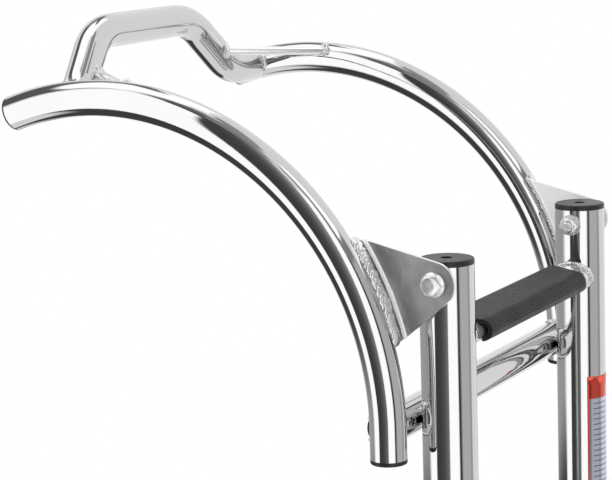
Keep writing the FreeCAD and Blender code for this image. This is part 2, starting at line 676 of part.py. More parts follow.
for side, way in SIDES:
    hook_arc(side, way)
    hook_plugs(side, way)
    hinge_plate(side, way)
    plate_weld(side, way)
    brace(side, way)
cross_bar()
handle()
for side, way in SIDES:
    stile(side, way)
    stile_ends(side, way)
    pivot_bolt(side, way)
    washer_and_nut(side, way)
for number in range(1, RUNGS + 1):
    rung(number)
    tread(number)
doc.recompute()

# Every object is sound before anything is written
for thing in doc.Objects:
    if "Invalid" in thing.State or "Error" in thing.State:
        raise RuntimeError(f"{thing.Name} failed: {thing.State}")
for piece in PARTS:
    if piece.Shape.isNull() or not piece.Shape.isValid() or piece.Shape.Volume <= 0:
        raise RuntimeError(f"{piece.Label} has no sound shape")
os.makedirs("parts", exist_ok=True)
for piece in PARTS:
    piece.Shape.exportStep(f"parts/{piece.Label}.step")
print(f"{len(PARTS)} pieces written")
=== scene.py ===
"""Looks of a boarding ladder that hooks over the side tube of an inflatable boat.

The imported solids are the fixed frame. This file gives them their finishes, sets
detailed bolts, nuts and brace rods in place of the plain ones, adds the weld
beads, the knurl on the treads and a plain sticker, and sets up a pale studio.
Lengths are metres, and the angles in settings and tables are degrees.
"""

import math

import bmesh
import bpy
from bpy.props import FloatProperty, FloatVectorProperty, IntProperty, PointerProperty
from bpy.types import Node, NodeSocket, Operator, Panel, PropertyGroup
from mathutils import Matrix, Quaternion, Vector


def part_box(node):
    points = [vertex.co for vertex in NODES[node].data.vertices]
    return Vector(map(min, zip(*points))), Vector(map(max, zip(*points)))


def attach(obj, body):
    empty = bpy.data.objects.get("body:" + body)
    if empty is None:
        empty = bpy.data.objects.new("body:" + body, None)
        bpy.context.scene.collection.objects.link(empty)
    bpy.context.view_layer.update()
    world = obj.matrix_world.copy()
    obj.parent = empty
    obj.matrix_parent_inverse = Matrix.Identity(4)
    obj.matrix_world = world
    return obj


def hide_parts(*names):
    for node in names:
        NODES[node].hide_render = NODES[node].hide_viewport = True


bl_info = {
    "name": "Boarding ladder looks",
    "version": (1, 0, 0),
    "blender": (4, 5, 0),
    "location": "3D View > Sidebar > Ladder",
    "description": "Finishes, fasteners, welds, knurl, sticker and studio of a boat boarding ladder",
    "category": "Object",
}

MM = 0.001
TAU = 2 * math.pi
AWAY = Vector((1, 0, 0))
ALONG = Vector((0, 1, 0))
UP = Vector((0, 0, 1))

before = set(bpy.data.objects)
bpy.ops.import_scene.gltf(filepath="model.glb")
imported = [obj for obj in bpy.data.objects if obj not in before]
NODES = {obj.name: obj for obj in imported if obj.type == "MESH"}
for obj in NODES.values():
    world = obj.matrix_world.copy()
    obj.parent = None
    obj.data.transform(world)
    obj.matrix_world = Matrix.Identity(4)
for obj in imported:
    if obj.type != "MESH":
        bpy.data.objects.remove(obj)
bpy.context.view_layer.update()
SIDES = (("left", -1), ("right", 1))


def middle(node):
    """The middle of a node's box."""
    low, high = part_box(node)
    return (low + high) / 2


def extent(node):
    """How long a node's box is each way."""
    low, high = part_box(node)
    return high - low


# Places read from the frame
STILE_AXIS = middle("right_stile")
STILE_RADIUS = extent("right_stile").x / 2
HOOK_RADIUS = extent("cross_bar").z / 2
HOOK_PLANE = middle("right_hook_arc").y
RUNG_NAMES = sorted(n for n in NODES if n.startswith("rung_"))
TREAD_NAMES = sorted(n for n in NODES if n.startswith("tread_"))

# Places and sizes that the frame's boxes don't give
RUNG_OVAL = (0.0142, 0.0111)
ARC_RADIUS = 0.220
ARC_CENTRE = Vector((0.0, 0.0, HOOK_RADIUS - ARC_RADIUS))
HANDLE_LEAN = math.radians(13.7)
KNURL_FRONT = 0.0062
KNURL_BACK = 0.0140

# How finely things are drawn, and the angle that parts two smooth faces
TURNED_STEPS = 96
ROD_STEPS = 64
JOINT_STEPS = 24
RUNG_STEPS = 56
PLATE_STEPS = 60
BRACE_STEPS = 32
STICKER_ROWS = 12
CARD_GRID = (24, 16)
FLOOR_STEPS = 64
CRISP = 35


# Node helpers


def fill_in(tree, made, inputs):
    """Set or link a node's inputs. Each is a value, a socket, or a node whose
    first output is meant. A name stands for the input that is in use."""
    for key, value in inputs.items():
        socket = made.inputs[key] if isinstance(key, int) else next(
            found for found in made.inputs if found.name == key and found.enabled)
        if isinstance(value, Node):
            value = value.outputs[0]
        if isinstance(value, NodeSocket):
            tree.links.new(value, socket)
        else:
            socket.default_value = value


def node(tree, kind, inputs=None, family="Shader", **settings):
    """Add a node of a family with its settings and inputs."""
    made = tree.nodes.new(family + "Node" + kind)
    for key, value in settings.items():
        setattr(made, key, value)
    fill_in(tree, made, inputs or {})
    return made


def geometry(tree, kind, inputs=None, **settings):
    """Add a geometry node."""
    return node(tree, kind, inputs, "Geometry", **settings)


def math_node(tree, operation, first, second=0.0, third=0.0):
    """A calculation with values or sockets."""
    return node(tree, "Math", {0: first, 1: second, 2: third}, operation=operation)


def plus(tree, first, second):
    """One value or socket added to another."""
    return math_node(tree, "ADD", first, second)


def minus(tree, first, second):
    """One value or socket with another taken off."""
    return math_node(tree, "SUBTRACT", first, second)


def times(tree, first, second):
    """One value or socket times another."""
    return math_node(tree, "MULTIPLY", first, second)


def mix_colour(tree, share, first, second):
    """Mix two colours."""
    return node(tree, "Mix", {"Factor": share, 6: first, 7: second}, data_type="RGBA").outputs[2]


def map_range(tree, value, low, high, to_low=0.0, to_high=1.0, smooth=False):
    """Spread a value from one range to another."""
    spans = {"Value": value, "From Min": low, "From Max": high, "To Min": to_low, "To Max": to_high}
    kind = "SMOOTHSTEP" if smooth else "LINEAR"
    return node(tree, "MapRange", spans, interpolation_type=kind)


def object_place(tree, scale=(1.0, 1.0, 1.0), location=(0.0, 0.0, 0.0)):
    """Object coordinates, stretched or moved."""
    spot = node(tree, "TexCoord").outputs["Object"]
    return node(tree, "Mapping", {"Vector": spot, "Scale": scale, "Location": location})


def split(tree, vector):
    """The X, Y and Z of a vector."""
    return node(tree, "SeparateXYZ", {"Vector": vector}).outputs


def reach_of(tree, vector):
    """How long a vector is."""
    return node(tree, "VectorMath", {0: vector}, operation="LENGTH").outputs["Value"]


def noise(tree, spot, scale, detail, distortion=0.0):
    """A cloudy value over a place."""
    return node(tree, "TexNoise", {
        "Vector": spot, "Scale": scale, "Detail": detail, "Distortion": distortion})


def bump(tree, height, distance):
    """A normal from a height in metres times distance."""
    return node(tree, "Bump", {"Height": height, "Distance": distance, "Strength": 1.0})


def tinted(colour, share):
    """The same colour, darker or lighter."""
    return (*(min(1.0, c * share) for c in colour[:3]), 1.0)


def shaded(tree, share, colour, dark, light):
    """A colour that goes from a darker to a lighter tint with a share."""
    return mix_colour(tree, share, tinted(colour, dark), tinted(colour, light))


def grey(level):
    """A grey without a tint."""
    return (level, level, level, 1.0)


def titled(values):
    """Keyword values under the names of a group's inputs."""
    return {key.replace("_", " ").title(): value for key, value in values.items()}


def node_group(name, kind, inputs, output):
    """Wrap a function that lays out a node group, so that the group is made once.
    A socket is a kind and a name, and an input may add its default, lowest and
    highest value. The function gives back what the group puts out."""

    def wrap(lay_out):
        def ready():
            tree = bpy.data.node_groups.get(name)
            if tree is None:
                tree = bpy.data.node_groups.new(name, kind)
                for socket, label, *values in inputs:
                    made = tree.interface.new_socket(label, in_out="INPUT", socket_type="NodeSocket" + socket)
                    for key, value in zip(("default_value", "min_value", "max_value"), values):
                        setattr(made, key, value)
                socket, label = output
                tree.interface.new_socket(label, in_out="OUTPUT", socket_type="NodeSocket" + socket)
                given = node(tree, "GroupInput", family="").outputs
                node(tree, "GroupOutput", {label: lay_out(tree, given)}, "")
            return tree

        return ready

    return wrap


# Shader groups that several finishes share


@node_group("Handling marks", "ShaderNodeTree", (
    ("Float", "Clean Roughness", 0.04), ("Float", "Smudged Roughness", 0.09), ("Float", "Scale", 30.0),
), ("Float", "Roughness"))
def handling_marks(tree, given):
    """Soft smudges and fine wipes that change how sharp a surface mirrors."""
    cloud = noise(tree, object_place(tree), given["Scale"], 4.0)
    smudge = map_range(tree, cloud, 0.42, 0.68, smooth=True)
    spread = minus(tree, given["Smudged Roughness"], given["Clean Roughness"])
    return math_node(tree, "MULTIPLY_ADD", smudge, spread, given["Clean Roughness"])


@node_group("Surface waves", "ShaderNodeTree", (
    ("Float", "Wave Scale", 20.0), ("Float", "Wave Depth", 0.3),
    ("Float", "Grain Scale", 900.0), ("Float", "Grain Depth", 0.01),
), ("Float", "Height"))
def surface_waves(tree, given):
    """The slight hollows and swellings that bending and buffing leave."""
    spot = object_place(tree)
    broad = times(tree, noise(tree, spot, given["Wave Scale"], 1.0), given["Wave Depth"])
    fine = times(tree, noise(tree, spot, given["Grain Scale"], 2.0), given["Grain Depth"])
    return plus(tree, broad, fine)


def group(tree, made, **values):
    """Place a shader group with its own values, and give what it puts out."""
    return node(tree, "Group", titled(values), node_tree=made)


# Finishes


def blank_tree(owner):
    """The emptied node tree of a material or a world."""
    owner.use_nodes = True
    owner.node_tree.nodes.clear()
    return owner.node_tree


def blank_material(name):
    """A material with only its shader and output."""
    made = bpy.data.materials.get(name)
    if made:
        bpy.data.materials.remove(made)
    made = bpy.data.materials.new(name)
    tree = blank_tree(made)
    shader = node(tree, "BsdfPrincipled")
    node(tree, "OutputMaterial", {"Surface": shader})
    return made, tree, shader


def feed(tree, shader, **sockets):
    """Link or set the shader's inputs by name."""
    fill_in(tree, shader, {key.replace("_", " "): value for key, value in sockets.items()})


def coat(mesh, material):
    """Give a mesh one material in place of any others."""
    mesh.materials.clear()
    mesh.materials.append(material)


def polished_tube(finish):
    """Mirror-polished tube, a little wavy where it was bent and buffed."""
    made, tree, shader = blank_material("polished tube")
    marks = group(tree, handling_marks(), clean_roughness=finish.tube_roughness,
                  smudged_roughness=finish.tube_roughness * 2, scale=22.0)
    waves = group(tree, surface_waves(), wave_scale=26.0, wave_depth=1.0,
                  grain_scale=1400.0, grain_depth=0.006)
    cloud = noise(tree, object_place(tree), 9.0, 3.0)
    feed(tree, shader, Base_Color=shaded(tree, cloud, finish.steel, 0.97, 1.03), Metallic=1.0,
         Roughness=marks, Normal=bump(tree, waves, finish.tube_wave * MM))
    return made


def rod_steel(finish):
    """Bright drawn rod, not buffed to a mirror; its pale tint, past the steel's own colour, is a painted
    reflection.
    """
    made, tree, shader = blank_material("bright rod")
    cloud = noise(tree, object_place(tree), 60.0, 2.0)
    # The tint of 1.36 to 1.54 times the steel paints the white that the rod mirrors.
    feed(tree, shader, Base_Color=shaded(tree, cloud, finish.steel, 1.36, 1.54), Metallic=0.6,
         Roughness=finish.tube_roughness * 2)
    return made


def rung_steel(finish):
    """Polished along the middle, and dented and duller near the welds, where a paler tint is a painted
    reflection.
    """
    made, tree, shader = blank_material("rung steel")
    spot = object_place(tree)
    weld = STILE_AXIS.y - STILE_RADIUS
    dent_and_painted_reflection_start, dent_and_painted_reflection_full = weld - 12 * MM, weld - 6 * MM
    along = math_node(tree, "ABSOLUTE", split(tree, spot)["Y"])
    near = map_range(tree, along, dent_and_painted_reflection_start, dent_and_painted_reflection_full, smooth=True)
    height = times(tree, noise(tree, spot, 170.0, 1.0), near)
    # The paler tint near the welds is a painted reflection; the dents and the blur there are the rung's own.
    feed(tree, shader, Base_Color=shaded(tree, near, finish.steel, 1.0, 1.2),
         Metallic=map_range(tree, near, 0.0, 1.0, 1.0, 0.72),
         Roughness=map_range(tree, near, 0.0, 1.0, finish.tube_roughness, finish.tube_roughness * 3),
         Normal=bump(tree, height, 1.2 * MM))
    return made


def satin_plate(finish):
    """Sheet with a soft satin on its outer face, an inner face made brighter by a painted reflection, and
    polished bends and edges whose pale grey is a painted highlight. The faces are told apart by the way they
    point."""
    made, tree, shader = blank_material("satin plate")
    spot = object_place(tree)
    side = math_node(tree, "SIGN", split(tree, spot)["Y"])
    normal = node(tree, "NewGeometry").outputs["Normal"]
    outward = times(tree, split(tree, normal)["Y"], side)
    outer = map_range(tree, outward, 0.93, 0.99, smooth=True)
    inner = map_range(tree, outward, -0.99, -0.93, 1.0, 0.0, smooth=True)
    marks = group(tree, handling_marks(), clean_roughness=finish.plate_roughness,
                  smudged_roughness=finish.plate_roughness * 1.3, scale=55.0)
    grain = noise(tree, object_place(tree, (1.0, 1.0, 9.0)), 260.0, 5.0)
    stain = noise(tree, object_place(tree, (1.0, 1.0, 0.6)), 52.0, 6.0, 0.6)
    wipe = noise(tree, spot, 620.0, 2.0)
    shade = plus(tree, stain, times(tree, wipe, 0.12))
    face = shaded(tree, map_range(tree, shade, 0.40, 0.70), finish.plate, 0.80, 1.24)
    # Painted light: the pale grey of the bends and edges is a painted highlight, and the near white of the
    # inner face is a painted reflection.
    bend_painted_highlight, inner_painted_reflection = grey(0.90), grey(0.96)
    bend_roughness, bend_dullness, inner_dullness = 0.2, 0.72, 0.22
    rough = times(tree, outer, minus(tree, marks, bend_roughness))
    bends = times(tree, minus(tree, 1.0, outer), bend_dullness)
    dull = plus(tree, bends, times(tree, inner, inner_dullness))
    feed(tree, shader, Metallic=minus(tree, 1.0, dull),
         Base_Color=mix_colour(tree, inner, mix_colour(tree, outer, bend_painted_highlight, face), inner_painted_reflection),
         Roughness=plus(tree, rough, bend_roughness), Normal=bump(tree, grain, 0.02 * MM))
    return made


def weld_metal(finish):
    """Bright weld metal, brushed clean, with fine scale between the ripples."""
    made, tree, shader = blank_material("weld metal")
    cloud = noise(tree, object_place(tree), 300.0, 3.0)
    feed(tree, shader, Base_Color=shaded(tree, cloud, finish.weld, 0.9, 1.1), Metallic=0.88,
         Roughness=map_range(tree, cloud, 0.3, 0.7, 0.1, 0.24), Normal=bump(tree, cloud, 0.04 * MM))
    return made


def turned_steel(finish):
    """Plated bolt steel: pale, a little clouded, with faint turning marks round the pivot."""
    made, tree, shader = blank_material("bolt steel")
    pivot = middle("right_pivot_bolt")
    across = split(tree, object_place(tree, location=(-pivot.x, 0.0, -pivot.z)))
    flat = node(tree, "CombineXYZ", {"X": across["X"], "Y": across["Z"]})
    mark_pitch = 0.9 * MM
    rings = math_node(tree, "SINE", times(tree, reach_of(tree, flat), TAU / mark_pitch))
    wear = noise(tree, object_place(tree), 340.0, 3.0)
    height = plus(tree, times(tree, rings, 0.25), wear)
    feed(tree, shader, Base_Color=shaded(tree, wear, finish.bolt, 0.9, 1.08), Metallic=0.62,
         Roughness=map_range(tree, wear, 0.3, 0.7, 0.2, 0.32), Normal=bump(tree, height, 0.018 * MM))
    return made


def moulded_plastic(name, colour, roughness, grain_scale, grain_depth):
    """Black moulded plastic with a fine leathery grain and a slight bloom."""
    made, tree, shader = blank_material(name)
    spot = object_place(tree)
    bloom = noise(tree, spot, 45.0, 4.0)
    shade = map_range(tree, bloom, 0.35, 0.7)
    feed(tree, shader, Base_Color=shaded(tree, shade, colour, 0.85, 1.3), Specular_IOR_Level=0.32,
         Roughness=map_range(tree, bloom, 0.3, 0.7, roughness * 0.9, roughness * 1.12),
         Normal=bump(tree, noise(tree, spot, grain_scale, 3.0), grain_depth * MM))
    return made


def sticker_film(finish):
    """Clear film with a plain coloured head, a thin border and pale ruled lines."""
    made, tree, shader = blank_material("sticker film")
    head, border, margin = 0.0175, 0.0016, 0.005
    rule_pitch, rule_share, ink = 0.0042, 0.24, (0.20, 0.22, 0.30, 1.0)
    place = split(tree, node(tree, "UVMap", uv_map="sticker"))
    across, down = place["X"], place["Y"]
    red = math_node(tree, "MAXIMUM", math_node(tree, "LESS_THAN", down, head),
                    math_node(tree, "LESS_THAN", across, border))
    rows = math_node(tree, "FRACT", math_node(tree, "DIVIDE", down, rule_pitch))
    ruled = times(tree, math_node(tree, "LESS_THAN", rows, rule_share),
                  math_node(tree, "GREATER_THAN", across, margin))
    body = mix_colour(tree, ruled, (*finish.sticker_body, 1.0), ink)
    feed(tree, shader, Base_Color=mix_colour(tree, red, body, (*finish.sticker_head, 1.0)), Metallic=0.85,
         Roughness=0.16, Coat_Weight=0.5, Coat_Roughness=0.08,
         Normal=bump(tree, noise(tree, object_place(tree), 240.0, 2.0), 0.02 * MM))
    return made


# Geometry node trees


@node_group("Weld bead", "GeometryNodeTree", (
    ("Geometry", "Line"), ("Vector", "Middle"), ("Float", "Lean", 0.0),
    ("Float", "Bead Width", 0.0044, 0.0), ("Float", "Flatness", 1.0, 0.1, 1.0),
    ("Float", "Ripple Pitch", 0.0016, 0.0002), ("Float", "Ripple Length", 2.1, 0.5),
    ("Float", "Unevenness", 0.2, 0.0, 1.0), ("Int", "Seed", 1), ("Material", "Material"),
), ("Geometry", "Bead"))
def bead_tree(tree, given):
    """Weld bead along a line: a base strand under overlapping, tilted ripples.
    Its flat side faces the middle point, and 1 is a round bead."""
    line = geometry(tree, "MeshToCurve", {"Mesh": given["Line"]})
    # Outwards is away from the middle point, leaned about the line
    place = geometry(tree, "InputPosition")
    tangent = geometry(tree, "InputTangent")
    away = node(tree, "VectorMath", {0: place, 1: given["Middle"]}, operation="SUBTRACT")
    leaned = node(tree, "VectorRotate", {"Vector": away, "Axis": tangent, "Angle": given["Lean"]},
                  rotation_type="AXIS_ANGLE")
    facing = geometry(tree, "SetCurveNormal", {"Curve": line, "Normal": leaned}, mode="FREE")
    held = geometry(tree, "CaptureAttribute", {"Geometry": facing})
    held.capture_items.new("VECTOR", "Outward")
    fill_in(tree, held, {1: leaned})
    fine = geometry(tree, "ResampleCurve",
                    {"Curve": held, "Length": times(tree, given["Ripple Pitch"], 0.5)},
                    mode="LENGTH")
    circle = geometry(tree, "CurvePrimitiveCircle",
                      {"Resolution": 12, "Radius": times(tree, given["Bead Width"], 0.42)})
    squash = node(tree, "CombineXYZ", {"X": given["Flatness"], "Y": 1.0, "Z": 1.0})
    rounded = geometry(tree, "Transform", {"Geometry": circle, "Scale": squash})
    strand = geometry(tree, "CurveToMesh", {"Curve": fine, "Profile Curve": rounded, "Fill Caps": True})
    steps = geometry(tree, "ResampleCurve", {"Curve": held, "Length": given["Ripple Pitch"]}, mode="LENGTH")
    ripple = geometry(tree, "MeshUVSphere", {"Segments": 14, "Rings": 9, "Radius": 0.5})
    along = node(tree, "AlignRotationToVector", {"Vector": tangent}, "Function", axis="Z")
    flat = node(tree, "AlignRotationToVector", {"Rotation": along, "Vector": held.outputs[1]}, "Function",
                axis="X", pivot_axis="Z")
    uneven = given["Unevenness"]
    spread = node(tree, "RandomValue", {
        "Min": minus(tree, 1.0, uneven), "Max": plus(tree, 1.0, uneven), "Seed": given["Seed"],
    }, "Function", data_type="FLOAT")
    width = times(tree, spread.outputs[1], given["Bead Width"])
    size = node(tree, "CombineXYZ",
                {"X": times(tree, width, given["Flatness"]), "Y": width,
                 "Z": times(tree, given["Ripple Pitch"], given["Ripple Length"])})
    tilt = node(tree, "RandomValue", {
        "Min": (-0.2, 0.05, -0.15), "Max": (0.2, 0.5, 0.15),
        "Seed": plus(tree, given["Seed"], 7.0),
    }, "Function", data_type="FLOAT_VECTOR")
    turn = node(tree, "EulerToRotation", {"Euler": tilt}, "Function")
    swung = node(tree, "RotateRotation", {"Rotation": flat, "Rotate By": turn}, "Function",
                 rotation_space="LOCAL")
    placed = geometry(tree, "InstanceOnPoints",
                      {"Points": steps, "Instance": ripple,
                       "Rotation": swung, "Scale": size})
    joined = geometry(tree, "JoinGeometry")
    for strands in (strand, placed):
        fill_in(tree, joined, {0: strands})
    real = geometry(tree, "RealizeInstances", {"Geometry": joined})
    smooth = geometry(tree, "SetShadeSmooth", {"Geometry": real, "Shade Smooth": True})
    return geometry(tree, "SetMaterial", {"Geometry": smooth, "Material": given["Material"]})


@node_group("Tread knurl", "GeometryNodeTree", (
    ("Geometry", "Spots"), ("Float", "Diamond Length", 0.0034, 0.0), ("Float", "Diamond Width", 0.0024, 0.0),
    ("Float", "Height", 0.0006, 0.0), ("Material", "Material"),
), ("Geometry", "Knurl"))
def knurl_tree(tree, given):
    """Staggered rows of low diamonds over a flat tread."""
    stud = geometry(tree, "MeshCone",
                    {"Vertices": 4, "Radius Top": 0.36, "Radius Bottom": 0.5, "Depth": 1.0}, fill_type="NGON")
    size = node(tree, "CombineXYZ",
                {"X": given["Diamond Width"], "Y": given["Diamond Length"], "Z": given["Height"]})
    spots = geometry(tree, "MeshToPoints", {"Mesh": given["Spots"]})
    placed = geometry(tree, "InstanceOnPoints", {"Points": spots, "Instance": stud, "Scale": size})
    real = geometry(tree, "RealizeInstances", {"Geometry": placed})
    return geometry(tree, "SetMaterial", {"Geometry": real, "Material": given["Material"]})


def in_scene(name, data):
    """A new object of the scene."""
    made = bpy.data.objects.new(name, data)
    bpy.context.scene.collection.objects.link(made)
    return made


def grown(name, points, edges, tree, **values):
    """Run a geometry tree on points and edges, and give the result as a plain mesh."""
    values = titled(values)
    start = bpy.data.meshes.new(name + " start")
    start.from_pydata(points, edges, [])
    piece = in_scene(name + " start", start)
    grower = piece.modifiers.new(tree.name, "NODES")
    grower.node_group = tree
    for socket in tree.interface.items_tree:
        if socket.item_type == "SOCKET" and socket.in_out == "INPUT" and socket.name in values:
            grower[socket.identifier] = values[socket.name]
    graph = bpy.context.evaluated_depsgraph_get()
    mesh = bpy.data.meshes.new_from_object(piece.evaluated_get(graph), depsgraph=graph)
    piece.modifiers.remove(grower)
    bpy.data.objects.remove(piece)
    mesh.name = name
    return mesh


def piece_from(name, shell, material, crisp=None):
    """An object from a bmesh, with edges sharp past the crisp angle."""
    mesh = bpy.data.meshes.new(name)
    shell.to_mesh(mesh)
    shell.free()
    if crisp is not None:
        mesh.set_sharp_from_angle(angle=math.radians(crisp))
    coat(mesh, material)
    return in_scene(name, mesh)


def point_grid(shell, rows, columns, place):
    """Rows of vertices, each where place puts its row and column."""
    return [[shell.verts.new(place(row, column)) for column in range(columns + 1)] for row in range(rows + 1)]


def joined_piece(name, meshes, material):
    """One object from several plain meshes."""
    whole = bmesh.new()
    for mesh in meshes:
        whole.from_mesh(mesh)
    return piece_from(name, whole, material)


# Fasteners

THREAD_PITCH = 1.25 * MM
THREAD_DEPTH = 0.6 * MM
THREAD_LENGTH = 12 * MM
TIP_CHAMFER = 0.9 * MM
BEVEL_SLOPE = 0.55


def ring_surface(rings, loop=False):
    """A closed surface through rings that stand round the Y axis. Each ring is
    a place along the axis and a radius, either of which may be a list with a
    value for every step, and a single number stands for a point on the axis."""
    shell = bmesh.new()
    steps = TURNED_STEPS
    rows = []
    for ring in rings:
        if len(ring) == 1:
            rows.append([shell.verts.new((0.0, ring[0], 0.0))])
            continue
        along, radii = ring
        row = []
        for step in range(steps):
            turn = TAU * step / steps
            place = along[step] if isinstance(along, list) else along
            radius = radii[step] if isinstance(radii, list) else radii
            row.append(shell.verts.new((radius * math.cos(turn), place, radius * math.sin(turn))))
        rows.append(row)
    pairs = list(zip(rows, rows[1:]))
    if loop:
        pairs.append((rows[-1], rows[0]))
    for first, second in pairs:
        for step in range(steps):
            after = (step + 1) % steps
            if len(first) == 1:
                corners = (first[0], second[after], second[step])
            elif len(second) == 1:
                corners = (first[step], first[after], second[0])
            else:
                corners = (first[step], first[after], second[after], second[step])
            shell.faces.new(corners)
    return shell


def hexagon(width):
    """The reach of a hexagon at each step round it."""
    sector = math.pi / 3
    return [width / 2 / math.cos((TAU * step / TURNED_STEPS) % sector - sector / 2)
            for step in range(TURNED_STEPS)]


def bevelled(reach, round_radius, top):
    """Where a cone turned off the corners meets each step of a hexagon."""
    return [top - (r - round_radius) * BEVEL_SLOPE for r in reach]


def settled(name, shell, place, way, material):
    """Turn a ring surface to its side of the ladder, put it there and finish it."""
    for vert in shell.verts:
        vert.co = Vector((vert.co.x, vert.co.y * way, vert.co.z)) + place
    for face in shell.faces:
        face.smooth = True
    bmesh.ops.recalc_face_normals(shell, faces=shell.faces)
    return piece_from(name, shell, material, CRISP)


def flanged_bolt(sizes):
    """A bolt with a thread, a dished flange and a hexagon with a turned, dimpled face."""
    radius = sizes.bolt_diameter / 2
    root = radius - THREAD_DEPTH
    tip = -sizes.bolt_length
    rings = [(tip,), (tip, radius * 0.78), (tip + TIP_CHAMFER, radius)]
    place = tip + TIP_CHAMFER
    while place < tip + THREAD_LENGTH:
        rings += [(place + 0.15 * THREAD_PITCH, radius), (place + 0.5 * THREAD_PITCH, root),
                  (place + 0.85 * THREAD_PITCH, radius)]
        place += THREAD_PITCH
    flange = sizes.flange_diameter / 2
    reach = hexagon(sizes.hex_width)
    crown = sizes.hex_width * 0.45
    top = sizes.head_height
    rings += [(0.0, radius), (0.0, flange - 0.3 * MM), (0.3 * MM, flange), (0.9 * MM, flange),
              (1.2 * MM, flange - 0.3 * MM), (1.9 * MM, [r + 0.5 * MM for r in reach]), (2.3 * MM, reach),
              (bevelled(reach, crown, top), reach), (top, crown), (top - 0.12 * MM, crown - 0.5 * MM),
              (top - 0.55 * MM, crown - 1.5 * MM), (top - 0.6 * MM, crown * 0.4), (top - 0.6 * MM,)]
    return ring_surface(rings)


def lock_nut(sizes):
    """A nut with a hexagon bevelled at its seat and a rolled collar round its bore."""
    reach = hexagon(sizes.hex_width)
    crown = sizes.hex_width * 0.47
    bore = sizes.bolt_diameter / 2 + 0.1 * MM
    high = sizes.nut_height
    shoulder = high - 2.1 * MM
    rings = [(0.0, bore + 0.5 * MM), (0.0, crown), ([BEVEL_SLOPE * (r - crown) for r in reach], reach),
             (bevelled(reach, crown, shoulder), reach), (shoulder, crown - 0.2 * MM),
             (shoulder + 0.4 * MM, crown - 0.5 * MM), (high - 0.6 * MM, crown - 0.6 * MM),
             (high - 0.15 * MM, crown - 0.95 * MM), (high, crown - 1.4 * MM),
             (high - 0.4 * MM, bore + 0.15 * MM), (high - 1.2 * MM, bore), (0.5 * MM, bore)]
    return ring_surface(rings, loop=True)


# Lines that the welds follow


def line_edges(count, closed):
    """The edges of a line of count points."""
    return [(i, (i + 1) % count) for i in range(count if closed else count - 1)]


def round_section(steps, across, up, radius):
    """Points of a circle in the plane of two directions."""
    return [across * radius * math.cos(TAU * i / steps) + up * radius * math.sin(TAU * i / steps)
            for i in range(steps)]


def onto_hook(point, way):
    """Slide a point sideways until it lies on a hook's tube."""
    drop = point - ARC_CENTRE
    if drop.z < 0:
        off = point.x - ARC_RADIUS
    else:
        off = math.hypot(drop.x, drop.z) - ARC_RADIUS
    off = max(-HOOK_RADIUS, min(HOOK_RADIUS, off))
    reach = math.sqrt(HOOK_RADIUS ** 2 - off ** 2)
    return Vector((point.x, way * (HOOK_PLANE - reach), point.z))


def joint_lines(centre, side, up, way, low=-52, high=52):
    """Where a tube that lies along Y runs into a hook. The joint is ground
    flush where it would stand out past the hook, so it falls in two pieces,
    each from the low to the high angle above the tube's middle."""
    lines = []
    for turn, lift in ((0.0, 1), (math.pi, -1)):
        line = []
        for i in range(JOINT_STEPS + 1):
            angle = turn + lift * math.radians(low + (high - low) * i / JOINT_STEPS)
            spot = centre + side * HOOK_RADIUS * math.cos(angle) + up * HOOK_RADIUS * math.sin(angle)
            line.append(onto_hook(spot, way))
        lines.append(line)
    return lines


def tail_lines(way, low, high):
    """Where the handle's tail meets its hook."""
    lean = Vector((-math.sin(HANDLE_LEAN), 0.0, math.cos(HANDLE_LEAN)))
    side = Vector((math.cos(HANDLE_LEAN), 0.0, math.sin(HANDLE_LEAN)))
    return joint_lines(ARC_CENTRE + lean * ARC_RADIUS, side, lean, way, low, high)


def cross_bar_lines(way):
    """Where the cross bar meets the heel of its hook."""
    bar = middle("cross_bar")
    return joint_lines(Vector((bar.x, 0.0, bar.z)), UP, AWAY, way)


def rung_line(rung, way):
    """Where the oval end of a rung meets its stile."""
    spot = middle(rung)
    line = []
    for point in round_section(RUNG_STEPS, AWAY, UP, 1.0):
        x, z = point.x * RUNG_OVAL[0], point.z * RUNG_OVAL[1]
        reach = math.sqrt(STILE_RADIUS ** 2 - x ** 2)
        line.append(Vector((spot.x + x, way * (STILE_AXIS.y - reach), spot.z + z)))
    return line


def plate_line(way, sizes):
    """The middle of the broad bead between a hinge plate's flange and its hook."""
    low, high = math.radians(sizes.plate_low), math.radians(sizes.plate_high)
    out = sizes.plate_reach
    line = []
    for i in range(PLATE_STEPS + 1):
        turn = low + (high - low) * i / PLATE_STEPS
        line.append(ARC_CENTRE + Vector((out * math.cos(turn), way * sizes.plate_side, out * math.sin(turn))))
    return line


def brace_ends(way):
    """The two ends of a handle brace, its axis and two directions across it."""
    rod = NODES[("left" if way < 0 else "right") + "_handle_brace"].data
    spots = [v.co.copy() for v in rod.vertices]
    end_length = 12 * MM
    ends = []
    for end in (max(spots, key=lambda p: abs(p.y)), min(spots, key=lambda p: abs(p.y))):
        near = [p for p in spots if (p - end).length < end_length]
        ends.append(sum(near, Vector()) / len(near))
    axis = (ends[0] - ends[1]).normalized()
    side = axis.cross(UP).normalized()
    return ends, axis, side, side.cross(axis)


# Settings


def a_colour(name, what, default):
    """A setting for a colour."""
    return FloatVectorProperty(name=name, description="Colour of " + what, subtype="COLOR", size=3,
                               default=default, min=0.0, max=1.0)


def a_length(name, description, default, **limits):
    """A setting for a length."""
    return FloatProperty(name=name, description=description, default=default, unit="LENGTH", **limits)


def a_share(name, description, default, high=1.0):
    """A setting for a share of something."""
    return FloatProperty(name=name, description=description, default=default,
                         min=0.0, max=high, subtype="FACTOR")


def a_number(name, description, default, **limits):
    """A setting without a unit, or in the unit that it names."""
    return FloatProperty(name=name, description=description, default=default, **limits)


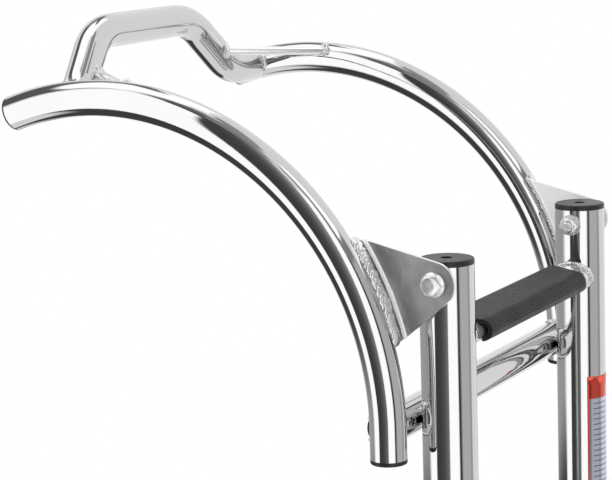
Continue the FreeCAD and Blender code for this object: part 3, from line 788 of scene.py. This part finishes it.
class LadderFinish(PropertyGroup):
    """Colours and finishes of the ladder."""

    steel: a_colour("Steel", "the polished tube", (0.62, 0.62, 0.625))
    plate: a_colour("Plate", "the hinge plates", (0.46, 0.46, 0.46))
    weld: a_colour("Weld", "the weld metal", (0.80, 0.80, 0.80))
    bolt: a_colour("Bolt", "the bolts and nuts", (0.78, 0.78, 0.78))
    plastic: a_colour("Plastic", "the caps and plugs", (0.018, 0.018, 0.019))
    tread: a_colour("Tread", "the treads", (0.009, 0.009, 0.0093))
    sticker_head: a_colour("Sticker head", "the sticker's head", (0.62, 0.06, 0.03))
    sticker_body: a_colour("Sticker body", "the sticker's body", (0.55, 0.57, 0.66))
    tube_roughness: a_share("Tube roughness", "How blurred the tubes mirror", 0.045)
    tube_wave: a_number("Tube waves", "Depth of the waves in the tubes, in millimetres", 0.05, min=0.0)
    plate_roughness: a_share("Plate roughness", "How blurred the plates mirror", 0.42)


class WeldSizes(PropertyGroup):
    """Sizes of the weld beads, and of the braces that some of them hold."""

    brace_diameter: a_length("Brace diameter", "Diameter of the handle's brace rods", 0.007, min=0.002)
    tube_bead: a_length("Tube bead", "Width of the beads round the tubes", 0.0034, min=0.001)
    rung_bead: a_length("Rung bead", "Width of the beads round the rungs", 0.0054, min=0.001)
    rung_flatness: a_number("Rung bead flatness", "Height of that bead to its width", 0.48, min=0.1, max=1.0)
    plate_bead: a_length("Plate bead", "Width of the beads along the hinge plates", 0.0096, min=0.001)
    plate_flatness: a_number("Plate bead flatness", "Height of that bead to its width",
                             0.28, min=0.1, max=1.0)
    plate_lean: a_number("Plate bead lean", "How far that bead leans off the flange, in degrees", 17.8)
    pitch: a_length("Ripple pitch", "Distance from ripple to ripple", 0.0021, min=0.0005)
    unevenness: a_share("Unevenness", "How much the ripples differ", 0.12, 0.6)
    plate_low: a_number("Plate bead start", "Where that bead starts round the hook, in degrees", 15.1)
    plate_high: a_number("Plate bead end", "Where that bead ends round the hook, in degrees", 32.4)
    plate_reach: a_length("Plate bead radius", "Distance of that bead from the hooks' centre", 0.2334)
    plate_side: a_length("Plate bead side", "Distance of that bead from the middle", 0.1579)


class FastenerSizes(PropertyGroup):
    """Sizes of the pivot bolts and nuts."""

    bolt_diameter: a_length("Bolt diameter", "Diameter of the bolt's shank", 0.008, min=0.001)
    bolt_length: a_length("Bolt length", "Length of the bolt under its head", 0.054, min=0.001)
    flange_diameter: a_length("Flange diameter", "Diameter of the flange under the head", 0.0175, min=0.001)
    hex_width: a_length("Width across flats", "Width of the hexagons across their flats", 0.013, min=0.001)
    head_height: a_length("Head height", "Height of the head with its flange", 0.0055, min=0.001)
    nut_height: a_length("Nut height", "Height of the nut", 0.0075, min=0.001)


class TreadSizes(PropertyGroup):
    """Sizes of the knurl on the treads."""

    row_pitch: a_length("Row pitch", "Distance from row to row", 0.00135, min=0.0005)
    stud_pitch: a_length("Stud pitch", "Distance from stud to stud in a row", 0.0038, min=0.0005)
    stud_height: a_length("Stud height", "Height of a stud", 0.0003, min=0.0)
    # The studs' lighter tint is a painted sheen.
    stud_painted_sheen: a_number("Stud painted sheen", "How much lighter the sheen-painted studs are", 7.0, min=0.0)
    edge: a_length("Plain edge", "Plain border at the ends of a tread", 0.0012, min=0.0)
    cut_start: a_length("Cut start", "How far behind the stiles' middle the slanted right end starts", 0.014)
    cut_angle: a_number("Cut angle", "How steeply the right end is cut back to the nose, in degrees",
                        34.0, min=0.0, max=80.0)


class StickerSizes(PropertyGroup):
    """Size and place of the sticker on the stile."""

    start: a_number("Start angle", "Where the sticker starts round the stile, in degrees", -56.0)
    sweep: a_number("Sweep", "How far the sticker goes round the stile, in degrees", 136.0)
    top: a_length("Top", "Height of the sticker's top edge", -0.2290)
    height: a_length("Height", "Height of the sticker", 0.120)
    steps: IntProperty(name="Steps", description="Faces round the sticker", default=40, min=4)


# Operators


def is_plastic(name):
    """Whether a node is one of the black mouldings."""
    return name.startswith("tread") or name.endswith(("_plug", "_cap", "_foot"))


class LADDER_OT_dress_steel(Operator):
    """Give the tubes, plates and fasteners their steel."""

    bl_idname = "ladder.dress_steel"
    bl_label = "Dress the steel"

    def execute(self, context):
        finish = context.scene.ladder_finish
        tube, plate, bolt = polished_tube(finish), satin_plate(finish), turned_steel(finish)
        rung = rung_steel(finish)
        for name, piece in NODES.items():
            if name.endswith("_hinge_plate"):
                coat(piece.data, plate)
            elif name.endswith(("_bolt", "_washer", "_nut")):
                coat(piece.data, bolt)
            elif not is_plastic(name):
                coat(piece.data, rung if name in RUNG_NAMES else tube)
        return {"FINISHED"}


class LADDER_OT_set_braces(Operator):
    """Set the handle's brace rods, a little stouter than the plain ones."""

    bl_idname = "ladder.set_braces"
    bl_label = "Set the braces"

    def execute(self, context):
        radius = context.scene.ladder_welds.brace_diameter / 2
        metal = rod_steel(context.scene.ladder_finish)
        for side, way in SIDES:
            plain = side + "_handle_brace"
            ends, axis, across, up = brace_ends(way)
            reach = [v.co.dot(axis) for v in NODES[plain].data.vertices]
            foot = ends[0] + axis * (min(reach) - ends[0].dot(axis))
            section = round_section(ROD_STEPS, across, up, radius)
            shell = bmesh.new()
            rows = [[shell.verts.new(foot + axis * along + p) for p in section]
                    for along in (0.0, max(reach) - min(reach))]
            for step, after in line_edges(ROD_STEPS, True):
                shell.faces.new((rows[0][step], rows[0][after], rows[1][after], rows[1][step])).smooth = True
            for row in rows:
                shell.faces.new(row)
            bmesh.ops.recalc_face_normals(shell, faces=shell.faces)
            rod = piece_from(side + "_brace_rod", shell, metal, CRISP)
            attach(rod, "hook_frame")
            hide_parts(plain)
        return {"FINISHED"}


class LADDER_OT_set_bolts(Operator):
    """Set the detailed bolts and nuts in place of the plain ones."""

    bl_idname = "ladder.set_bolts"
    bl_label = "Set the bolts"

    def execute(self, context):
        sizes = context.scene.ladder_fasteners
        metal = bpy.data.materials.get("bolt steel") or turned_steel(context.scene.ladder_finish)
        for side, way in SIDES:
            bolt, nut = side + "_pivot_bolt", side + "_pivot_nut"
            pivot = middle(bolt)
            outer, inner = (way * max(abs(corner.y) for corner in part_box(part)) for part in (bolt, nut))
            seat = Vector((pivot.x, outer - way * sizes.head_height, pivot.z))
            head = settled(side + "_flanged_bolt", flanged_bolt(sizes), seat, way, metal)
            seat = Vector((pivot.x, inner, pivot.z))
            lock = settled(side + "_lock_nut", lock_nut(sizes), seat, -way, metal)
            for piece, replaced in ((head, bolt), (lock, nut)):
                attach(piece, "ladder")
                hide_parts(replaced)
        return {"FINISHED"}


class LADDER_OT_dress_plastic(Operator):
    """Give the treads, caps and plugs their black plastic."""

    bl_idname = "ladder.dress_plastic"
    bl_label = "Dress the plastic"

    def execute(self, context):
        finish = context.scene.ladder_finish
        cap = moulded_plastic("cap plastic", finish.plastic, 0.38, 1600.0, 0.02)
        tread = moulded_plastic("tread plastic", finish.tread, 0.5, 1100.0, 0.04)
        for name, piece in NODES.items():
            if is_plastic(name):
                coat(piece.data, tread if name.startswith("tread") else cap)
        return {"FINISHED"}


class LADDER_OT_lay_welds(Operator):
    """Lay the rippled weld beads of the hook frame and of the ladder."""

    bl_idname = "ladder.lay_welds"
    bl_label = "Lay the welds"

    def execute(self, context):
        sizes = context.scene.ladder_welds
        metal = weld_metal(context.scene.ladder_finish)
        tree = bead_tree()
        seat = STILE_AXIS.y - STILE_RADIUS
        brace_bead, brace_inset, brace_clearance = 0.0046, 0.0022, 0.0004

        def bead(name, line, closed, width, seed, **values):
            values = {"ripple_pitch": sizes.pitch, "unevenness": sizes.unevenness} | values
            return grown(name, line, line_edges(len(line), closed), tree,
                         bead_width=width, seed=seed, material=metal, **values)

        hook, plates, ladder = [], [], []
        for place, (side, way) in enumerate(SIDES):
            # What the tubes' joints are called, their lines, widths, first seeds and own values
            for what, lines, width, seed, values in (
                    ("seam", tail_lines(way, -54, 54), 0.5, 21,
                     {"unevenness": 0.02, "ripple_pitch": sizes.pitch * 0.7}),
                    ("tail", tail_lines(way, -14, 32), 1.4, 11, {"unevenness": 0.35}),
                    ("bar", cross_bar_lines(way), 1.0, 15, {})):
                for number, line in enumerate(lines):
                    hook.append(bead(f"{side} {what} {number}", line, False, sizes.tube_bead * width,
                                     seed + 2 * place + number, **values))
            plates.append(bead(side + " plate", plate_line(way, sizes), False, sizes.plate_bead, 31 + place,
                               middle=ARC_CENTRE + Vector((0.0, way * sizes.plate_side, 0.0)),
                               lean=math.radians(sizes.plate_lean) * way, flatness=sizes.plate_flatness,
                               ripple_pitch=sizes.pitch * 1.3, ripple_length=3.6))
            ends, axis, across, up = brace_ends(way)
            section = round_section(BRACE_STEPS, across, up, sizes.brace_diameter / 2 + brace_clearance)
            for number, end in enumerate(ends):
                inward = axis * (brace_inset if number == 0 else -brace_inset)
                ring = [end + inward + p for p in section]
                hook.append(bead(f"{side} brace {number}", ring, True, brace_bead, 41 + 2 * place + number,
                                 ripple_pitch=sizes.pitch * 0.9, unevenness=0.45))
            for number, rung in enumerate(RUNG_NAMES):
                spot = middle(rung)
                ladder.append(bead(f"{side} {rung}", rung_line(rung, way), True, sizes.rung_bead,
                                   51 + 2 * number + place, middle=Vector((spot.x, way * seat, spot.z)),
                                   flatness=sizes.rung_flatness, unevenness=0.42, ripple_length=2.2))
        for name, meshes, body in (("hook_weld_beads", hook, "hook_frame"),
                                   ("plate_weld_beads", plates, "hook_frame"),
                                   ("rung_weld_beads", ladder, "ladder")):
            piece = joined_piece(name, meshes, metal)
            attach(piece, body)
            if name == "plate_weld_beads":
                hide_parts("left_plate_weld", "right_plate_weld")
        return {"FINISHED"}


class LADDER_OT_press_knurl(Operator):
    """Set the staggered studs on the flat of each tread."""

    bl_idname = "ladder.press_knurl"
    bl_label = "Press the knurl"

    def execute(self, context):
        sizes = context.scene.ladder_treads
        finish = context.scene.ladder_finish
        # The lighter tint of the studs is a painted sheen on their tops and sides.
        plastic = moulded_plastic("knurl plastic", tinted(finish.tread, sizes.stud_painted_sheen), 0.42, 1100.0, 0.02)
        tree = knurl_tree()
        slant = math.tan(math.radians(sizes.cut_angle))
        half = sizes.stud_pitch / 2 + sizes.edge
        for name in TREAD_NAMES:
            low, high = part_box(name)
            start, end = low.x + KNURL_FRONT, STILE_AXIS.x + KNURL_BACK
            rows = int((end - start) / sizes.row_pitch)
            studs = int((high.y - low.y - 2 * sizes.edge) / sizes.stud_pitch)
            spots = []
            for row in range(rows + 1):
                x = start + row * sizes.row_pitch
                cut = max(0.0, x - STILE_AXIS.x + sizes.cut_start) * slant
                for stud in range(studs + 1):
                    y = low.y + half + (stud + 0.5 * (row % 2)) * sizes.stud_pitch
                    if y < high.y - half - cut:
                        spots.append((x, y, high.z - 0.1 * MM))
            mesh = grown(name + " knurl", spots, [], tree, diamond_length=sizes.stud_pitch * 0.52,
                         diamond_width=sizes.row_pitch * 1.45, height=sizes.stud_height, material=plastic)
            piece = joined_piece(name + "_knurl", [mesh], plastic)
            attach(piece, "ladder")
        return {"FINISHED"}


class LADDER_OT_lay_sticker(Operator):
    """Lay the plain sticker round the far stile."""

    bl_idname = "ladder.lay_sticker"
    bl_label = "Lay the sticker"

    def execute(self, context):
        sizes = context.scene.ladder_sticker
        skin, thick = STILE_RADIUS + 0.02 * MM, 0.16 * MM
        sheet = bmesh.new()
        uv = sheet.loops.layers.uv.new("sticker")
        rows, steps = STICKER_ROWS, sizes.steps

        def layer(radius):
            def place(row, step):
                turn = math.radians(sizes.start + sizes.sweep * step / steps)
                x, y = STILE_AXIS.x + radius * math.cos(turn), STILE_AXIS.y + radius * math.sin(turn)
                return x, y, sizes.top - sizes.height * row / rows

            return point_grid(sheet, rows, steps, place)

        def face(corners):
            made = sheet.faces.new([grid[row][step] for grid, row, step in corners])
            made.smooth = True
            for loop, (grid, row, step) in zip(made.loops, corners):
                across = math.radians(sizes.sweep) * step / steps * STILE_RADIUS
                loop[uv].uv = (across, sizes.height * row / rows)

        front, back = layer(skin + thick), layer(skin)
        for row in range(rows):
            for step in range(steps):
                spots = ((row, step), (row + 1, step), (row + 1, step + 1), (row, step + 1))
                face([(front, *spot) for spot in spots])
                face([(back, *spot) for spot in reversed(spots)])
        for row in range(rows):
            for step, order in ((0, 1), (steps, -1)):
                face([(back, row, step), (back, row + 1, step),
                      (front, row + 1, step), (front, row, step)][::order])
        for step in range(steps):
            for row, order in ((0, -1), (rows, 1)):
                face([(back, row, step), (back, row, step + 1),
                      (front, row, step + 1), (front, row, step)][::order])
        piece = piece_from("stile_sticker", sheet, sticker_film(context.scene.ladder_finish))
        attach(piece, "ladder")
        return {"FINISHED"}


# Studio

# Each card stands round the near hook: its name, how bright it is, its radius,
# the azimuths and heights that it spans, and how soft its edge is. Azimuth 0
# looks along -Y from the ladder, and 90 along +X. Angles are in degrees. The
# last values, where given, are how far its sides lean to the right at the top,
# and how much brighter its right end is.
CARDS = (
    ("ceiling_front_cloth", 0.30, 1.9, (-60, 62), (62, 89), 4),
    ("ceiling_back_cloth", 0.36, 1.9, (60, 180), (70, 89), 4),
    ("right_frame", 0.30, 1.85, (67, 121), (-32, 66), 2),
    ("left_frame", 0.14, 1.85, (-126, -62), (27, 60), 4),
    ("left_back_frame", 0.34, 1.86, (-152, -120), (27, 60), 4),
    ("left_low_cloth", 0.46, 1.9, (-150, -66), (-32, 14), 5),
    ("left_dark_floor", 0.065, 1.85, (-143, -59), (-60, -20), 6),
    ("front_left_softbox", 1.56, 1.2, (-62, -33), (-58, 62), 2, (0, 23)),
    ("front_left_top", 0.15, 1.15, (-55, -5), (62, 80), 6),
    ("left_top_softbox", 1.6, 1.6, (-174, -66), (44, 84), 4),
    ("front_right_softbox", 1.56, 1.2, (26, 68), (-40, 52), 3, (19, 0)),
    ("camera_gap", 0.065, 1.3, (-36, 46), (-60, 68), 2, (0, 0), 0.5),
    ("right_dark_edge", 0.06, 1.5, (67, 77), (-32, 32), 2),
    ("right_grey_panel", 0.61, 1.5, (79, 117), (-32, 31), 2),
    ("right_low_panel", 0.45, 1.84, (92, 130), (-54, -6), 5),
    ("right_top_softbox", 1.6, 1.5, (82, 117), (37, 66), 2),
    ("right_back_softbox", 1.5, 1.5, (119, 146), (3, 26), 3),
    ("back_left_flag", 0.2, 1.5, (-151, -138), (33, 60), 3),
)
CARD_CENTRE = Vector((0.10, -0.16, -0.06))

FLOOR_CENTRE = 0.15
FLOOR_REACH = 2.2
FLOOR_DROP = 0.0006
LAMPS_AIM = Vector((0.1, 0.0, -0.3))

# The camera that was fitted to the photograph, its sizes in the picture's pixels
PICTURE_WIDTH = 612
FOCAL_LENGTH = 2184.5
SHIFT = (-2.3, -11.2)
SENSOR_WIDTH = 36.0
EYE = (0.8465, -1.4528, 0.1658)
LOOK = Vector((-0.4618, 0.8722, -0.1615))
ROLL = -1.79


def card_material(name, brightness, soft, wide, high, rise):
    """A card seen only in reflections, with soft edges."""
    made = bpy.data.materials.new(name)
    tree = blank_tree(made)
    place = split(tree, node(tree, "UVMap", uv_map="card"))
    sides = []
    for axis, span in (("X", wide), ("Y", high)):
        off = math_node(tree, "ABSOLUTE", minus(tree, place[axis], 0.5))
        sides.append(map_range(tree, minus(tree, 0.5, off), 0.0, soft / span, smooth=True))
    share = times(tree, *sides)
    glow = node(tree, "Emission", {"Color": grey(1.0), "Strength": brightness})
    if rise:
        climb = times(tree, math_node(tree, "POWER", place["X"], 4.0), rise)
        fill_in(tree, glow, {"Strength": plus(tree, climb, brightness)})
    clear = node(tree, "BsdfTransparent")
    mixed = node(tree, "MixShader", {0: share, 1: clear, 2: glow})
    node(tree, "OutputMaterial", {"Surface": mixed})
    return made


def card(name, brightness, radius, azimuths, heights, soft, lean=(0, 0), rise=0.0):
    """A curved card round the ladder."""
    sheet = bmesh.new()
    uv = sheet.loops.layers.uv.new("card")
    columns, rows = CARD_GRID

    def place(row, column):
        share = row / rows
        height = math.radians(heights[0] + (heights[1] - heights[0]) * share)
        left, right = (side + slope * share for side, slope in zip(azimuths, lean))
        turn = math.radians(left + (right - left) * column / columns)
        return CARD_CENTRE + radius * Vector((
            math.sin(turn) * math.cos(height), -math.cos(turn) * math.cos(height), math.sin(height)))

    grid = point_grid(sheet, rows, columns, place)
    for row in range(rows):
        for column in range(columns):
            spots = ((row, column), (row, column + 1), (row + 1, column + 1), (row + 1, column))
            made = sheet.faces.new([grid[r][c] for r, c in spots])
            for loop, (r, c) in zip(made.loops, spots):
                loop[uv].uv = (c / columns, r / rows)
    wide, high = azimuths[1] - azimuths[0], heights[1] - heights[0]
    piece = piece_from(name, sheet, card_material(name, brightness, soft, wide, high, rise))
    for rays in ("camera", "diffuse", "transmission", "shadow"):
        setattr(piece, "visible_" + rays, False)


def floor_material():
    """Pale floor that fades into the white background."""
    made = bpy.data.materials.new("studio floor")
    tree = blank_tree(made)
    out = reach_of(tree, object_place(tree, location=(-FLOOR_CENTRE, 0.0, 0.0)))
    share = map_range(tree, out, 0.7, 1.6, smooth=True)
    colour = mix_colour(tree, noise(tree, object_place(tree), 60.0, 3.0), grey(0.86), grey(0.88))
    floor = node(tree, "BsdfPrincipled", {"Base Color": colour, "Roughness": 0.9})
    clear = node(tree, "BsdfTransparent")
    mixed = node(tree, "MixShader", {0: share, 1: floor, 2: clear})
    node(tree, "OutputMaterial", {"Surface": mixed})
    return made


class StudioSettings(PropertyGroup):
    """Levels of the studio's light."""

    fill: a_number("Fill", "Brightness of the light from all round", 0.62, min=0.0)
    key: a_number("Key", "Power of the soft lamp above, in watts", 26.0, min=0.0)
    side: a_number("Side", "Power of the soft lamp at the side, in watts", 9.0, min=0.0)


class LADDER_OT_set_studio(Operator):
    """Build the floor, cards, lamps, background and camera."""

    bl_idname = "ladder.set_studio"
    bl_label = "Set the studio"

    def execute(self, context):
        scene = context.scene
        levels = scene.ladder_studio
        self.floor(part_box("left_stile_foot")[0].z - FLOOR_DROP)
        for row in CARDS:
            card(*row)
        self.lamp("key_lamp", levels.key, 1.4, (-0.8, -1.2, 1.9))
        self.lamp("side_lamp", levels.side, 1.2, (2.1, -0.6, 0.8))
        self.background(scene, levels.fill)
        self.camera(scene)
        scene.view_settings.view_transform = "Standard"
        return {"FINISHED"}

    def floor(self, height):
        mesh = bpy.data.meshes.new("studio_floor")
        centre = Vector((FLOOR_CENTRE, 0.0, height))
        ring = [centre + p for p in round_section(FLOOR_STEPS, AWAY, ALONG, FLOOR_REACH)]
        mesh.from_pydata(ring, [], [range(FLOOR_STEPS)])
        coat(mesh, floor_material())
        ground = in_scene("studio_floor", mesh)
        ground.visible_glossy = False

    def lamp(self, name, power, size, spot):
        lamp = bpy.data.lights.new(name, "AREA")
        lamp.energy, lamp.size = power, size
        stand = in_scene(name, lamp)
        stand.location = spot
        stand.rotation_mode = "QUATERNION"
        stand.rotation_quaternion = (LAMPS_AIM - Vector(spot)).to_track_quat("-Z", "Y")
        stand.visible_glossy = False

    def background(self, scene, fill):
        world = bpy.data.worlds.new("studio")
        tree = blank_tree(world)
        seen = node(tree, "LightPath").outputs
        straight = math_node(tree, "MAXIMUM", seen["Is Camera Ray"], seen["Is Transmission Ray"])
        mirrored = math_node(tree, "MAXIMUM", straight, seen["Is Glossy Ray"])
        strength = map_range(tree, mirrored, 0.0, 1.0, fill, 1.0)
        glow = node(tree, "Background", {"Color": grey(1.0), "Strength": strength})
        node(tree, "OutputWorld", {"Surface": glow})
        scene.world = world

    def camera(self, scene):
        lens = bpy.data.cameras.new("camera")
        lens.sensor_width = SENSOR_WIDTH
        lens.lens = FOCAL_LENGTH / PICTURE_WIDTH * SENSOR_WIDTH
        lens.shift_x, lens.shift_y = (shift / PICTURE_WIDTH for shift in SHIFT)
        lens.clip_start, lens.clip_end = 0.05, 50.0
        eye = in_scene("camera", lens)
        eye.location = EYE
        eye.rotation_mode = "QUATERNION"
        roll = Quaternion((0, 0, 1), math.radians(ROLL))
        eye.rotation_quaternion = LOOK.to_track_quat("-Z", "Y") @ roll
        scene.camera = eye


class LADDER_PT_looks(Panel):
    """Lists the steps that dress the ladder."""

    bl_idname = "LADDER_PT_looks"
    bl_label = "Boarding ladder"
    bl_space_type = "VIEW_3D"
    bl_region_type = "UI"
    bl_category = "Ladder"

    def draw(self, context):
        scene = context.scene
        for settings, kind in SETTINGS:
            box = self.layout.box()
            values = getattr(scene, settings)
            for key in values.__annotations__:
                box.prop(values, key)
        for step in STEPS:
            self.layout.operator(step.bl_idname)


SETTINGS = (
    ("ladder_finish", LadderFinish),
    ("ladder_welds", WeldSizes),
    ("ladder_fasteners", FastenerSizes),
    ("ladder_treads", TreadSizes),
    ("ladder_sticker", StickerSizes),
    ("ladder_studio", StudioSettings),
)
STEPS = (
    LADDER_OT_dress_steel,
    LADDER_OT_set_bolts,
    LADDER_OT_set_braces,
    LADDER_OT_dress_plastic,
    LADDER_OT_lay_welds,
    LADDER_OT_press_knurl,
    LADDER_OT_lay_sticker,
    LADDER_OT_set_studio,
)


def register():
    for name, settings in SETTINGS:
        bpy.utils.register_class(settings)
        setattr(bpy.types.Scene, name, PointerProperty(type=settings))
    for step in STEPS:
        bpy.utils.register_class(step)
    bpy.utils.register_class(LADDER_PT_looks)


def unregister():
    bpy.utils.unregister_class(LADDER_PT_looks)
    for step in reversed(STEPS):
        bpy.utils.unregister_class(step)
    for name, settings in reversed(SETTINGS):
        delattr(bpy.types.Scene, name)
        bpy.utils.unregister_class(settings)


def main():
    register()
    for step in STEPS:
        area, name = step.bl_idname.split(".")
        getattr(getattr(bpy.ops, area), name)()


if __name__ == "__main__":
    main()
